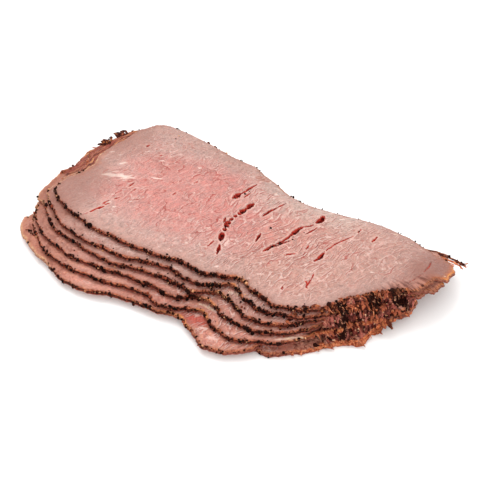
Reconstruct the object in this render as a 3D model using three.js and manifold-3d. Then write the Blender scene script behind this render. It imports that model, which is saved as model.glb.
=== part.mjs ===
// Sliced roast beef: seven thin slices of one peppered roast, fanned like shingles as they fell.
// Millimetres, +Z up. X runs along the slices, Y across them. The pile stands on z = 0.
import * as THREE from 'three';
import { mergeVertices } from 'three/addons/utils/BufferGeometryUtils.js';
import Module from 'manifold-3d';

const wasm = await Module();
wasm.setup();

// Thickness of a slice and the air between two slices.
const sliceThickness = 2.7;
const airGap = 0.3;

// Outline of the roast where it was cut, from the left tip round the front and back again.
const roastOutline = [
  [-111, -10], [-89, -27.5], [-54.5, -38], [-20, -38.5], [-1, -42.5],
  // the waist in front, then the smaller lobe
  [15.5, -37.5], [27.5, -44.5], [42, -49], [63.5, -42], [83.5, -21], [102, -6.5],
  // the blunt right tip
  [112.5, 7.5], [113.5, 24.5], [98, 33.5], [74.5, 40.5], [47.5, 38.5],
  // the waist at the back, then the larger lobe
  [20, 40.5], [-7.5, 54], [-19, 59.5], [-38, 61.5], [-56, 66.5], [-80, 70], [-92, 60.5],
  [-101, 32.5], [-102.5, 12.5],
];
const roastMiddle = [0, 9];
const rimPoints = 112;

// How each slice lies against the top one, from the bottom up.
// shift: right and back. turn: degrees, anticlockwise. stretch: along and across.
// swells: where on the way round (0 to 1), over what share of it, and how far out.
const slices = [
  { name: 'slice_1', shift: [-13, -20], turn: -5.5, stretch: [1, 1.02],
    swells: [[0, 0.07, -7], [0.15, 0.05, -8], [0.285, 0.035, -4.5], [0.306, 0.01, -4],
      [0.362, 0.015, 3], [0.396, 0.018, 3.5], [0.435, 0.04, -8]] },
  { name: 'slice_2', shift: [-22, -23], turn: -3.1, stretch: [1, 1.05],
    swells: [[0.99, 0.05, -11], [0.002, 0.012, -2], [0.03, 0.014, 1.2], [0.06, 0.02, -1.2],
      [0.085, 0.025, 3.6], [0.12, 0.03, 1.5], [0.15, 0.035, -4], [0.225, 0.02, -1.4],
      [0.292, 0.025, 2], [0.37, 0.05, -6]] },
  { name: 'slice_3', shift: [-14.4, -19.5], turn: -0.7, stretch: [1.02, 1.01],
    swells: [[0.985, 0.04, -8], [0.012, 0.024, -5], [0.88, 0.05, 2.5]] },
  { name: 'slice_4', shift: [-13, -13], turn: 0.5, stretch: [1.04, 1.02],
    swells: [[0.002, 0.036, -10.5], [0.93, 0.015, -2], [0.885, 0.035, 3]] },
  { name: 'slice_5', shift: [-7.5, -8.7], turn: 0.5, stretch: [1.01, 1.01],
    swells: [[0.008, 0.02, -7], [0.957, 0.034, 9.4], [0.89, 0.03, 1]] },
  { name: 'slice_6', shift: [-3.6, -5], turn: 1.3, stretch: [1.02, 1],
    swells: [[0.514, 0.012, 15], [0.005, 0.02, -4], [0.97, 0.02, 2], [0.9, 0.035, 3]] },
  { name: 'slice_7', shift: [0, 0], turn: 0, stretch: [1, 1],
    swells: [[0.8, 0.035, 2.5], [0.745, 0.02, -3.5], [0.675, 0.04, -2], [0.86, 0.03, -1.5]] },
];

// Crags of the crust: how many go round the rim, and how deep they are.
const crags = [[11, 0.55], [23, 0.4], [41, 0.3]];
const frayedEnd = { middle: 0.42, width: 0.06, times: 1.8 };

// A slice stays level this far past the edge it lies on, then sinks by one step over the fall.
const levelReach = 10.5;
const fallLength = 24;
const cell = 10;

// Cracked pepper pressed into the rim all the way round: the larger grains.
const grainsPerSlice = 15;
const grainRadius = [0.85, 1.2];
// A grain's width and height against its radius, smallest and largest.
const grainWidth = [0.85, 1.15];
const grainHeight = [0.8, 1];
// Where a grain may lie within its own share of the rim.
const grainPlace = [0.2, 0.8];

// Tears between the muscles of the top slice: one end, the other end, width at the middle.
const tearDepth = 1.5;
const tears = [
  { from: [-2.5, 20.5], to: [-7.5, 3], width: 2.6 },
  { from: [-8.2, 0.5], to: [-5.8, -14.5], width: 2.4 },
  { from: [-14.6, 24], to: [-8.4, 38], width: 2.6 },
  { from: [22, -5], to: [27.6, 8], width: 2 },
  { from: [28.5, 11], to: [36.4, 24], width: 2.4 },
  { from: [6.6, 13], to: [13.4, 28.5], width: 1.8 },
  { from: [46.6, -9.2], to: [49.6, 1], width: 2 },
  { from: [-82.4, -23.5], to: [-72.8, -7.8], width: 1.5 },
  { from: [-4.6, -17], to: [-3, -25.8], width: 1.6 },
  { from: [11.5, -0.5], to: [11.9, -8.2], width: 1.6 },
];

const meatColour = '#c08578';
const stepHeight = sliceThickness + airGap;
// Tall enough to cut through the whole pile.
const columnHeight = 80;

function turned([x, y], degrees) {
  const angle = THREE.MathUtils.degToRad(degrees);
  const sine = Math.sin(angle);
  const cosine = Math.cos(angle);
  return [x * cosine - y * sine, x * sine + y * cosine];
}

// Depth of the crust's crags at one place on the rim; every slice has crags of its own.
function cragHeight(along, number) {
  const fray = 1 + frayedEnd.times * Math.exp(-(((along - frayedEnd.middle) / frayedEnd.width) ** 2));
  return crags.reduce((sum, [count, depth], wave) => {
    const start = (wave + 1) * (2.4 * number + 1.7);
    return sum + fray * depth * Math.sin(2 * Math.PI * count * along + start);
  }, 0);
}

function swellHeight(along, swells) {
  return swells.reduce((sum, [place, width, out]) => {
    const away = THREE.MathUtils.euclideanModulo(along - place + 0.5, 1) - 0.5;
    return sum + out * Math.exp(-((away / width) ** 2));
  }, 0);
}

// The outline of one slice: the roast's own, stretched, turned, moved and given its crags.
function sliceOutline(slice, number) {
  const curve = new THREE.CatmullRomCurve3(
    roastOutline.map(([x, y]) => new THREE.Vector3(x, y, 0)), true, 'catmullrom', 0.5);
  const laid = [];
  for (let i = 0; i < rimPoints; i += 1) {
    const p = curve.getPoint(i / rimPoints);
    const along = (p.x - roastMiddle[0]) * slice.stretch[0];
    const across = (p.y - roastMiddle[1]) * slice.stretch[1];
    const [x, y] = turned([along, across], slice.turn);
    laid.push([x + roastMiddle[0] + slice.shift[0], y + roastMiddle[1] + slice.shift[1]]);
  }
  return laid.map(([x, y], i) => {
    const next = laid[(i + 1) % rimPoints];
    const last = laid[(i + rimPoints - 1) % rimPoints];
    const run = [next[0] - last[0], next[1] - last[1]];
    const length = Math.hypot(run[0], run[1]);
    const out = cragHeight(i / rimPoints, number) + swellHeight(i / rimPoints, slice.swells);
    return [x + (run[1] / length) * out, y - (run[0] / length) * out];
  });
}

// How far a point lies outside an outline; negative inside it.
function distanceOutside(x, y, outline) {
  let nearest = Infinity;
  let inside = false;
  outline.forEach(([ax, ay], i) => {
    const [bx, by] = outline[(i + 1) % outline.length];
    const dx = bx - ax;
    const dy = by - ay;
    const share = THREE.MathUtils.clamp(((x - ax) * dx + (y - ay) * dy) / (dx * dx + dy * dy), 0, 1);
    nearest = Math.min(nearest, Math.hypot(x - ax - share * dx, y - ay - share * dy));
    if ((ay <= y) !== (by <= y) && x < ax + ((y - ay) * dx) / dy) inside = !inside;
  });
  return inside ? -nearest : nearest;
}

// Height of a slice's underside: one step for every slice below, fading past that slice's edge.
function undersideHeight(x, y, outlinesBelow) {
  return outlinesBelow.reduce((height, outline) => {
    const past = (distanceOutside(x, y, outline) - levelReach) / fallLength;
    return height + stepHeight * (1 - THREE.MathUtils.smoothstep(past, 0, 1));
  }, 0);
}

function solidFrom(geometry) {
  geometry.deleteAttribute('normal');
  geometry.deleteAttribute('uv');
  const merged = mergeVertices(geometry, 1e-4);
  const vertProperties = Float32Array.from(merged.attributes.position.array);
  const triVerts = Uint32Array.from(merged.index.array);
  return new wasm.Manifold(new wasm.Mesh({ numProp: 3, vertProperties, triVerts }));
}

// Everything under a soft sheet that lies over the slices below, up to its underside and a
// lift more. All sheets share one grid, so that they never cut into one another.
function groundUnder(outline, outlinesBelow, lift) {
  const xs = outline.map((p) => p[0]);
  const ys = outline.map((p) => p[1]);
  const west = Math.floor(Math.min(...xs) / cell) - 1;
  const south = Math.floor(Math.min(...ys) / cell) - 1;
  const columns = Math.ceil(Math.max(...xs) / cell) + 1 - west;
  const rows = Math.ceil(Math.max(...ys) / cell) + 1 - south;
  const ground = new THREE.BoxGeometry(1, 1, 1, columns, rows, 1);
  const position = ground.attributes.position;
  for (let i = 0; i < position.count; i += 1) {
    const x = (west + Math.round((position.getX(i) + 0.5) * columns)) * cell;
    const y = (south + Math.round((position.getY(i) + 0.5) * rows)) * cell;
    const onTop = position.getZ(i) > 0;
    position.setXYZ(i, x, y, onTop ? undersideHeight(x, y, outlinesBelow) + lift : -columnHeight);
  }
  return solidFrom(ground);
}

// A soft sheet of meat lying over the slices below.
function drapedSheet(outline, outlinesBelow) {
  const upToTop = groundUnder(outline, outlinesBelow, sliceThickness);
  return upToTop.subtract(groundUnder(outline, outlinesBelow, 0));
}

// Height of a sheet's underside between the points of its grid.
function sheetHeight(x, y, outlinesBelow) {
  const west = Math.floor(x / cell) * cell;
  const south = Math.floor(y / cell) * cell;
  const heightAcross = (column) => THREE.MathUtils.lerp(
    undersideHeight(column, south, outlinesBelow),
    undersideHeight(column, south + cell, outlinesBelow),
    (y - south) / cell);
  return THREE.MathUtils.lerp(heightAcross(west), heightAcross(west + cell), (x - west) / cell);
}

// Everything inside an outline, from below the table to above the pile.
function outlineColumn(outline) {
  const shape = new THREE.Shape(outline.map(([x, y]) => new THREE.Vector2(x, y)));
  const column = new THREE.ExtrudeGeometry(shape, { depth: columnHeight, bevelEnabled: false });
  column.translate(0, 0, -columnHeight / 2);
  return solidFrom(column);
}

// Repeatable random numbers from 0 to 1.
function randomFrom(seed) {
  let state = seed;
  return () => {
    state = (state * 48271) % 2147483647;
    return state / 2147483647;
  };
}

function between(range, share) {
  return THREE.MathUtils.lerp(range[0], range[1], share);
}

// One cracked peppercorn: an uneven lump.
function pepperGrain(radius, random) {
  const grain = new THREE.IcosahedronGeometry(radius, 0);
  const width = between(grainWidth, random());
  const depth = between(grainWidth, random());
  grain.scale(width, depth, between(grainHeight, random()));
  grain.rotateZ(Math.PI * random());
  return grain;
}

// Larger grains of cracked pepper, half sunk into the rim of a slice.
function rimPepper(outline, outlinesBelow, seed) {
  const random = randomFrom(seed);
  const grains = [];
  for (let i = 0; i < grainsPerSlice; i += 1) {
    const along = ((i + between(grainPlace, random())) / grainsPerSlice) * outline.length;
    const [ax, ay] = outline[Math.floor(along)];
    const [bx, by] = outline[Math.ceil(along) % outline.length];
    const x = THREE.MathUtils.lerp(ax, bx, along % 1);
    const y = THREE.MathUtils.lerp(ay, by, along % 1);
    const grain = pepperGrain(between(grainRadius, random()), random);
    grain.translate(x, y, sheetHeight(x, y, outlinesBelow) + sliceThickness / 2);
    grains.push(solidFrom(grain));
  }
  return grains;
}

// A spindle-shaped groove, pointed at both ends, open at the top.
function tearCutter(tear, outlinesBelow) {
  const length = Math.hypot(tear.to[0] - tear.from[0], tear.to[1] - tear.from[1]);
  const shape = new THREE.Shape();
  shape.moveTo(-length / 2, 0);
  shape.quadraticCurveTo(0, -tear.width, length / 2, 0);
  shape.quadraticCurveTo(0, tear.width, -length / 2, 0);
  const settings = { depth: columnHeight, bevelEnabled: false, curveSegments: 3 };
  const groove = new THREE.ExtrudeGeometry(shape, settings);
  const x = (tear.from[0] + tear.to[0]) / 2;
  const y = (tear.from[1] + tear.to[1]) / 2;
  groove.rotateZ(Math.atan2(tear.to[1] - tear.from[1], tear.to[0] - tear.from[0]));
  groove.translate(x, y, undersideHeight(x, y, outlinesBelow) + sliceThickness - tearDepth);
  return solidFrom(groove);
}

function meshFrom(solid, name, colour) {
  const { vertProperties, triVerts } = solid.getMesh();
  const indexed = new THREE.BufferGeometry();
  indexed.setAttribute('position', new THREE.BufferAttribute(Float32Array.from(vertProperties), 3));
  indexed.setIndex(new THREE.BufferAttribute(Uint32Array.from(triVerts), 1));
  const geometry = indexed.toNonIndexed();
  geometry.computeVertexNormals();
  const material = new THREE.MeshStandardMaterial({ color: colour, roughness: 0.55, metalness: 0 });
  const mesh = new THREE.Mesh(geometry, material);
  mesh.name = name;
  return mesh;
}

function buildPile() {
  const outlines = slices.map((slice, i) => sliceOutline(slice, i + 1));
  const pile = new THREE.Group();
  slices.forEach((slice, i) => {
    const below = outlines.slice(0, i);
    let solid = drapedSheet(outlines[i], below).intersect(outlineColumn(outlines[i]));
    rimPepper(outlines[i], below, 1000 + 77 * i).forEach((grain) => {
      solid = solid.add(grain);
    });
    if (i === slices.length - 1) {
      tears.forEach((tear) => {
        solid = solid.subtract(tearCutter(tear, below));
      });
    }
    pile.add(meshFrom(solid, slice.name, meatColour));
  });
  return pile;
}

// Puts the middle of the pile's outer box over the origin.
function centred(pile) {
  const box = new THREE.Box3().setFromObject(pile);
  const middle = box.getCenter(new THREE.Vector3());
  pile.children.forEach((mesh) => mesh.geometry.translate(-middle.x, -middle.y, -box.min.z));
  return pile;
}

export default centred(buildPile());
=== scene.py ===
"""Sliced roast beef: the looks of its seven slices, their pepper crust and their frayed end.

Lengths are in millimetres until a mesh is built, and places are measured as in the part's source
before the pile is centred. A place on a rim is the share u of the way round it: 0 at the left tip,
0.2 at the waist in front, 0.35 to 0.44 along the frayed end, 0.62 at the waist at the back and
0.84 at the back left."""
import math
import bpy
import numpy as np
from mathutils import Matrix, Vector


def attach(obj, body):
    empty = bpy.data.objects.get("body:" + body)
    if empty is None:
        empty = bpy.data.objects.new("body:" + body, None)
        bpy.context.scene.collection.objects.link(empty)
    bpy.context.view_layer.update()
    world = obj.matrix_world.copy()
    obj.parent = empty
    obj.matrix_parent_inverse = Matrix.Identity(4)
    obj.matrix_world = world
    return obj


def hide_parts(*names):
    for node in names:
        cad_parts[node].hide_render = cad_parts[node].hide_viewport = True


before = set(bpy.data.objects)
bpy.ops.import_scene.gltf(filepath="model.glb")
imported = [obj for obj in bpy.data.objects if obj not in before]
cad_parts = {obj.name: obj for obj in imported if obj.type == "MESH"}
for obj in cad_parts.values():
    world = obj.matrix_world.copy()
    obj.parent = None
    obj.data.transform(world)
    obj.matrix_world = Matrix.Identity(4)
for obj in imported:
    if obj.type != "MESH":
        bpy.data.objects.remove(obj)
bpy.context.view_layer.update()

# How the slices lie on one another, as in the part's source: a slice stays level for the reach past
# an edge below it, then droops over the fall. The slices turn about the roast's middle.
THICKNESS = 2.7
AIR_GAP = 0.3
STEP = THICKNESS + AIR_GAP
LEVEL_REACH = 10.5
FALL = 24.0
PILE_MIDDLE = np.array([-4.341, -3.432])
ROAST_MIDDLE = np.array([0.0, 9.0])
RIM_POINTS = 112
TOP = 7
# About how long a rim is: it turns a share of the way round into millimetres.
RIM_LENGTH = 640
TO_METRES = 0.001
FULL_TURN = 2 * math.pi
# A distance that counts as far away from every line or edge.
FAR = 9.0
# Torn bits stay this far above the table.
LOWEST = 0.04

ROAST = np.array([
    (-111, -10), (-89, -27.5), (-54.5, -38), (-20, -38.5), (-1, -42.5),
    (15.5, -37.5), (27.5, -44.5), (42, -49), (63.5, -42), (83.5, -21), (102, -6.5),
    (112.5, 7.5), (113.5, 24.5), (98, 33.5), (74.5, 40.5), (47.5, 38.5),
    (20, 40.5), (-7.5, 54), (-19, 59.5), (-38, 61.5), (-56, 66.5), (-80, 70), (-92, 60.5),
    (-101, 32.5), (-102.5, 12.5)], float)

# Per slice from the bottom: shift, turn in degrees, stretch, swells (place, share, height).
SLICES = {
    1: ((-13, -20), -5.5, (1, 1.02),
        [(0, 0.07, -7), (0.15, 0.05, -8), (0.285, 0.035, -4.5), (0.306, 0.01, -4), (0.362, 0.015, 3),
         (0.396, 0.018, 3.5), (0.435, 0.04, -8)]),
    2: ((-22, -23), -3.1, (1, 1.05),
        [(0.99, 0.05, -11), (0.002, 0.012, -2), (0.03, 0.014, 1.2), (0.06, 0.02, -1.2), (0.085, 0.025, 3.6),
         (0.12, 0.03, 1.5), (0.15, 0.035, -4), (0.225, 0.02, -1.4), (0.292, 0.025, 2), (0.37, 0.05, -6)]),
    3: ((-14.4, -19.5), -0.7, (1.02, 1.01), [(0.985, 0.04, -8), (0.012, 0.024, -5), (0.88, 0.05, 2.5)]),
    4: ((-13, -13), 0.5, (1.04, 1.02), [(0.002, 0.036, -10.5), (0.93, 0.015, -2), (0.885, 0.035, 3)]),
    5: ((-7.5, -8.7), 0.5, (1.01, 1.01), [(0.008, 0.02, -7), (0.957, 0.034, 9.4), (0.89, 0.03, 1)]),
    6: ((-3.6, -5), 1.3, (1.02, 1),
        [(0.514, 0.012, 15), (0.005, 0.02, -4), (0.97, 0.02, 2), (0.9, 0.035, 3)]),
    7: ((0, 0), 0, (1, 1), [(0.8, 0.035, 2.5), (0.745, 0.02, -3.5), (0.675, 0.04, -2), (0.86, 0.03, -1.5)]),
}
# Crags of the crust: how many go round the rim, and how deep they are.
CRAGS = [(11, 0.55), (23, 0.4), (41, 0.3)]
FINE_CRAGS = [(83, 0.16), (131, 0.13), (197, 0.11), (311, 0.08)]

# Tears of the top slice: width, depth, then the points along it, x and y by turns.
TEARS = [
    (3.3, 2.4, -2.7, 21.8, -4.9, 15.2), (3.4, 2.4, -4.8, 15.6, -6.8, 9.4), (1.9, 1.8, -7.4, 9, -7.8, 6.4),
    (2.3, 2, -7.9, 5.6, -8.9, 2.6), (3.6, 2.4, -8.6, 2.4, -8.2, -4), (2.6, 2.1, -8, -4.4, -7.4, -7.2),
    (3.3, 2.4, -7.9, -8, -5.8, -15.4), (1.7, 1.8, -5, -17.6, -4.2, -20.4, -2.6, -26.4),
    (0.9, 1.3, -12.1, 4.8, -10.5, -1.4), (0.8, 1, -9, -16, -10.4, -22.6),
    (3.2, 2.2, -15.8, 20.8, -13.2, 27.6), (1.3, 1.6, -13.4, 26, -11, 32, -8.2, 38.6),
    (0.8, 1.2, -10.6, 24, -8.4, 30), (0.9, 1.2, 13.6, 29.5, 10.4, 24.6),
    (1.6, 1.8, 10.8, 25, 7.9, 19.5, 6.3, 12.8), (1.2, 1.6, 11.6, -0.3, 11.8, -8.2),
    (1.6, 1.8, 18.4, -13.4, 22.5, -4.8), (1.6, 1.8, 22.3, -5.4, 24.7, -1.4, 27.2, 5.8),
    (2.7, 2.2, 26, 3.8, 28.6, 11.3, 30, 14.6), (0.9, 1.4, 29.4, 13.2, 34.8, 19),
    (3.2, 2.5, 35.4, 20.2, 36.7, 24.6, 36.4, 28.8), (0.9, 1.2, 33.8, 9, 37.2, 17.7),
    (0.9, 1.1, 22.4, -7.4, 25.9, -2.6, 28.8, 1.8), (1, 1.3, 30, -11.4, 32.6, -9.6, 35.6, -8),
    (2, 1.9, 46.6, -9.4, 48.5, -3.8, 48.7, 0), (0.8, 1, 48.4, 0.2, 51.5, 8.7, 53.8, 12.2, 58.3, 19.3),
    (1, 1.5, -82, -23.2, -80.2, -19.6), (1.2, 1.5, -80.4, -20.2, -77.4, -15.4),
    (0.9, 1.3, -77.6, -14.4, -75.8, -11.6), (0.6, 1.2, -79.4, -14.6, -77.2, -9.6),
    (0.7, 1.2, -75.4, -8, -73.4, -4.6), (0.6, 1.1, -65, -3, -62.4, -1), (0.9, 0.9, 59, 22.4, 59.4, 26.4),
    (1, 1, 68.7, 18.6, 69.8, 24.8), (0.9, 1.3, -73.3, 5.8, -71.8, 10.6), (0.6, 1.1, -69, 3.6, -68.6, 6.2),
    (0.8, 1.1, -81.9, 43.2, -80.6, 46), (0.5, 1, -87.6, 38, -87, 39.6), (0.7, 1.1, -71, 38.6, -69.4, 40.4),
    (0.6, 1, -47.6, 9.4, -46.6, 12.6), (0.6, 1, -41.6, 24.4, -40, 27.4),
    (0.9, 0.6, 102.4, 20.6, 103.4, 13.6, 102.6, 7.5), (0.6, 0.5, 102.4, 6.5, 100.6, 0.5, 98.4, -3.5),
    (0.8, 1, 47.6, -23.8, 50.4, -27.4, 51.8, -31.4), (0.8, 0.9, 39.6, -34.6, 40.2, -37.6),
    (0.6, 0.8, 50.3, -16, 50.9, -24, 50.7, -31), (0.8, 0.8, 38.9, 2.2, 39, -2.6)]
# Strands left standing across the wide tears.
STRANDS = [
    (-6.8, 17.6, -2.4, 15.6), (-9, 12.5, -5, 10.8), (-10.6, -0.1, -6.2, -1.1), (-9.6, -7.6, -5.4, -6.6),
    (26.4, 7.4, 30.2, 5.8), (-17, 24.6, -12.4, 23.4)]
# Thin lines of the top slice's face: red between the muscles, pale along seams of fat.
RED_VEINS = [
    (-69.2, 35.3, -63.5, 31.7, -57.7, 29.1), (-53.8, 28.9, -53.5, 37.4),
    (-75.8, 28, -74.4, 33.9, -73.6, 37.5), (-85.1, -27.7, -81.9, -23.3, -79.7, -19.3),
    (-77.4, -8.5, -77, -2.3, -74, 5.2), (-62.4, 2.5, -62.9, 8.3), (-69.4, 1.3, -70, 6),
    (-45.3, 24.7, -43.1, 31.8, -39.2, 36.8, -34.6, 37.8), (-38.8, -3.2, -35.5, 5.2, -32, 11.8),
    (-44.1, -8.6, -46.6, 0, -50, 5.3), (-23.3, -17, -18, -11.7, -12.3, -7.2),
    (-43.7, -18.9, -42.8, -14.7), (-56.6, 37, -59, 38, -58.3, 40.4), (-44.7, 41.5, -36, 39.3, -29, 35.3),
    (-27, 9.2, -27, 18.1, -25, 23), (-14.6, 5.2, -15.2, -3.7, -17.2, -8.5),
    (-68.4, -5.2, -63.8, -2.1, -59.6, 0.8), (11.4, -19.3, 16.4, -9.7, 22.4, -5.9),
    (9.3, -27.5, 12.6, -16.9, 17.8, -12.7), (23.9, -26.1, 25.7, -19.9, 30.7, -14),
    (40.2, -13.1, 39.9, -4.2, 42.8, 2.6), (41.2, -1.8, 45.1, 5.5, 49.5, 13.2),
    (59.5, -4.1, 61.9, 4.2, 67.1, 8.5), (65.9, -12.8, 67.1, -6, 65.8, -1.2),
    (84.8, -4.8, 86.9, 1.5, 87.1, 6.9)]
PALE_SEAMS = [
    (-34.5, -8, -36.8, -2.3, -37.7, 3.2), (-24.8, -1.5, -28.6, 7.4, -32.6, 15.5),
    (-53.1, -6.9, -47.8, -7.4, -45.5, -3.4), (-52.9, 27.2, -49.1, 20.9, -46.5, 22),
    (-94.8, 15, -97.8, 15.7), (-71.3, 14.6, -69.5, 18.5), (-12, 15.2, -11.5, 7.6, -11, 0.1, -9.7, -8.8),
    (14.9, 12.2, 9.7, 5, 9.7, -5.4), (24.8, -20.3, 20.3, -26, 15.5, -28.2),
    (7.8, -19.2, 4.5, -13.4, 4.3, -7.9), (46.6, -27.9, 49.3, -22.3, 48.4, -14.7),
    (51.4, -15.1, 50.3, -8.4, 52, -4), (59.4, -9.6, 61.2, 0.2, 60.7, 10.1),
    (25.4, 14.2, 31.4, 14.2, 37.2, 10.3), (-8.6, -22.3, 0.4, -26.3, 8.3, -25.3),
    (29, -7.5, 34.4, -10.4, 39.2, -8.2)]
# White fat, for each slice that shows it: width, then the points along it.
FAT = {
    3: [(1.6, 47.6, -62, 54.2, -57.4, 59.6, -53.6), (1.2, 0.2, -53.8, 5.6, -53.6, 10, -55)],
    5: [(1.1, 13, -45.4, 18.8, -44)],
    6: [(0.9, -22, -41.4, -17.2, -43)],
    7: [(4.2, -92, 9.2, -84.3, 12.8, -74.5, 14.4), (1.6, -88.2, 22.6, -85.1, 25.8), (0.8, -66, 19, -60, 21)]}
# Single grains and crumbs lying on the top slice.
STRAYS = np.array([
    (-69.6, 57.7), (-69.4, 61), (21.6, -8), (22.9, -6), (24.6, -4.4), (25.4, -3.4), (26.6, -2.2),
    (27.8, 0.2), (29.2, 2.4), (31.6, 8.4), (32.6, 10.2), (14.4, 6), (59.4, 24), (-11, 27.4), (-9.6, 30.6),
    (20.4, -10.4), (25.2, -1.6), (24, -3), (28.4, 4.6)])
# Where the bare rim round each left tip ends, as a share past the tip.
LEFT_BARE = {1: 0.05, 2: 0.068, 3: 0.014, 4: 0.002, 5: 0.006, 6: -0.012, 7: -0.03}
# Where the crust is thin, on the front lobes of the two lowest slices: from, to.
THIN_CRUST = {1: (0.30, 0.365), 2: (0.235, 0.335)}
# Black caked patches of the torn end: middle and half widths.
CAKED = [(95.5, -12.8, 7.5, 3.0), (86.4, -22.6, 3.8, 3.2), (75.4, -39.0, 2.8, 3.6), (72.6, -34.6, 4.5, 1.8)]
# Clumps of grains: middle, slice, how many, how far they spread.
CLUMPS = [((-113.5, -36.2), 2, 16, 1.5), ((-110.6, -38.0), 2, 5, 1.2), ((-19.0, -49.5), 5, 12, 1.8),
          ((-16.0, -47.0), 6, 8, 1.2)]
# Grains drawn for each rim before its clumps thin them out, the share of them that stray on to
# the face, and the grains on the strip past the right tip.
GRAINS_PER_SLICE = 2050
STRAY_SHARE = 0.12
GRAINS_ON_STRIP = 22
# How thickly the front of each rim is peppered, from the bottom slice up.
FRONT_PEPPER = (0.55, 0.5, 0.7, 0.85, 0.9, 0.95, 1.1)
# Kinds of grain: share of all, size against the black ones, two tones, roughness.
PEPPER = {
    "pepper_black": (0.64, 1.0, "090302", "2c0f09", 0.65),
    "pepper_brown": (0.30, 0.8, "40150d", "8c432f", 0.55),
    "pepper_tan": (0.06, 0.8, "965636", "dfa47a", 0.4)}
# Points round a slice, rows across its face and rows under it, for the top slice and the others.
TOP_GRID = (860, 100, 7)
LOWER_GRID = (760, 34, 6)
SIDE_ROWS = 7
# Sides of a torn lump, and how many points are measured at a time.
BAR_SIDES = 10
CHUNK = 20000
# From here on in metres. Lights: place, width, power.
LIGHTS = {"key": ((-0.5, 0.3, 0.9), 0.8, 5.0), "front": ((0.5, -0.9, 0.7), 0.9, 3.4)}
TABLE_HALF, TABLE_COLOUR = 3.0, (0.93, 0.93, 0.93, 1)
SKY_STRENGTH, SKY_COLOUR = 1.18, (1.0, 0.99, 0.98, 1)
# The camera: degrees to the right and up, distance, lens in millimetres. Its target lies this high
# over the source's own origin, then this far to the right and up in the picture.
CAMERA_TURN, CAMERA_RISE, CAMERA_AWAY, CAMERA_LENS = 25, 40, 0.8636, 117.56
TARGET_HEIGHT, TARGET_RIGHT, TARGET_UP = 0.010, -0.0011, 0.0014


def turned(points, degrees):
    """Points turned anticlockwise about the origin, seen from above."""
    a = math.radians(degrees)
    return points @ np.array([[math.cos(a), math.sin(a)], [-math.sin(a), math.cos(a)]])


def waves(points, length, seed, count=14, along=0.0, stretch=1.0):
    """A soft random field: the mean of sines whose crests lie every way and every length apart.

    height = sum of sin(2 pi (p . d) / length + start) / sqrt(count / 2), with p first turned to the
    grain's angle and shortened along it by the stretch."""
    draw = np.random.default_rng(seed)
    px, py = (turned(points, -along) / [stretch, 1]).T
    total = np.zeros(len(points))
    turns, starts = draw.uniform(0, FULL_TURN, count), draw.uniform(0, FULL_TURN, count)
    for turn, start, size in zip(turns, starts, draw.uniform(0.7, 1.4, count)):
        total += np.sin((px * math.cos(turn) + py * math.sin(turn)) * FULL_TURN / (length * size) + start)
    return total / math.sqrt(count / 2)


def smooth(low, high, x):
    """3 t^2 - 2 t^3, where t runs from 0 at low to 1 at high."""
    t = np.clip((x - low) / (high - low), 0, 1)
    return t * t * (3 - 2 * t)


def band(u, rise, top, fall, end):
    """0 up to the rise, 1 from the top to the fall, 0 again from the end, by smooth steps."""
    return smooth(rise, top, u) * (1 - smooth(fall, end, u))


def bell(x, middle, width):
    """exp(-((x - middle) / width)^2)."""
    return np.exp(-((x - middle) / width) ** 2)


def outward(run):
    """Unit normals of a rim: its run turned a quarter clockwise."""
    return np.stack([run[:, 1], -run[:, 0]], 1) / np.hypot(run[:, 0], run[:, 1])[:, None]


def roast_curve(u):
    """Catmull-Rom cubic through the roast's points, at each share u of the way round."""
    n = len(ROAST)
    place = (u % 1.0) * n
    i = np.floor(place).astype(int)
    t = (place - i)[:, None]
    a, b, c, d = (ROAST[(i + k) % n] for k in (-1, 0, 1, 2))
    square, cube = 2 * a - 5 * b + 4 * c - d, 3 * b - a - 3 * c + d
    return 0.5 * (2 * b + (c - a) * t + square * t ** 2 + cube * t ** 3)


def crag_height(u, number, fine):
    """Sum of three sines round the rim, deeper at the frayed end; fine adds the smaller crags."""
    fray = 1 + 1.8 * bell(u, 0.42, 0.06)
    total = np.zeros_like(u)
    for wave, (count, depth) in enumerate(CRAGS, 1):
        total += fray * depth * np.sin(FULL_TURN * count * u + wave * (2.4 * number + 1.7))
    if fine:
        for wave, (count, depth) in enumerate(FINE_CRAGS, 5):
            total += (0.75 + 0.3 * fray) * depth * np.sin(FULL_TURN * count * u + wave * (1.3 * number + 0.7))
    return total


def slice_outline(number, u, fine=False):
    """The roast's curve stretched, turned and shifted, then pushed out along its normal by
    the crags and the swells."""
    shift, turn, stretch, swells = SLICES[number]

    def laid(v):
        return turned((roast_curve(v) - ROAST_MIDDLE) * stretch, turn) + ROAST_MIDDLE + shift

    gap = 1 / RIM_POINTS
    out = crag_height(u % 1.0, number, fine)
    for place, share, height in swells:
        out = out + height * bell((u - place + 0.5) % 1.0, 0.5, share)
    return laid(u) + outward(laid(u + gap) - laid(u - gap)) * out[:, None]


OUTLINES = {k: slice_outline(k, np.arange(RIM_POINTS) / RIM_POINTS) for k in SLICES}


def outside(points, outline):
    """Signed distance to a closed outline: nearest point of its edges, negative inside."""
    a, b = outline, np.roll(outline, -1, axis=0)
    d = b - a
    rise = np.where(d[:, 1] == 0, 1e-9, d[:, 1])
    result = np.empty(len(points))
    for first in range(0, len(points), CHUNK):
        p = points[first:first + CHUNK, None]
        w = p - a
        share = np.clip((w * d).sum(2) / (d * d).sum(1), 0, 1)
        away = np.sqrt(((w - share[..., None] * d) ** 2).sum(2).min(1))
        crosses = (a[:, 1] <= p[..., 1]) != (b[:, 1] <= p[..., 1])
        left = p[..., 0] < a[:, 0] + w[..., 1] * d[:, 0] / rise
        within = (crosses & left).sum(1) % 2 == 1
        result[first:first + CHUNK] = np.where(within, -away, away)
    return result


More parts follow.
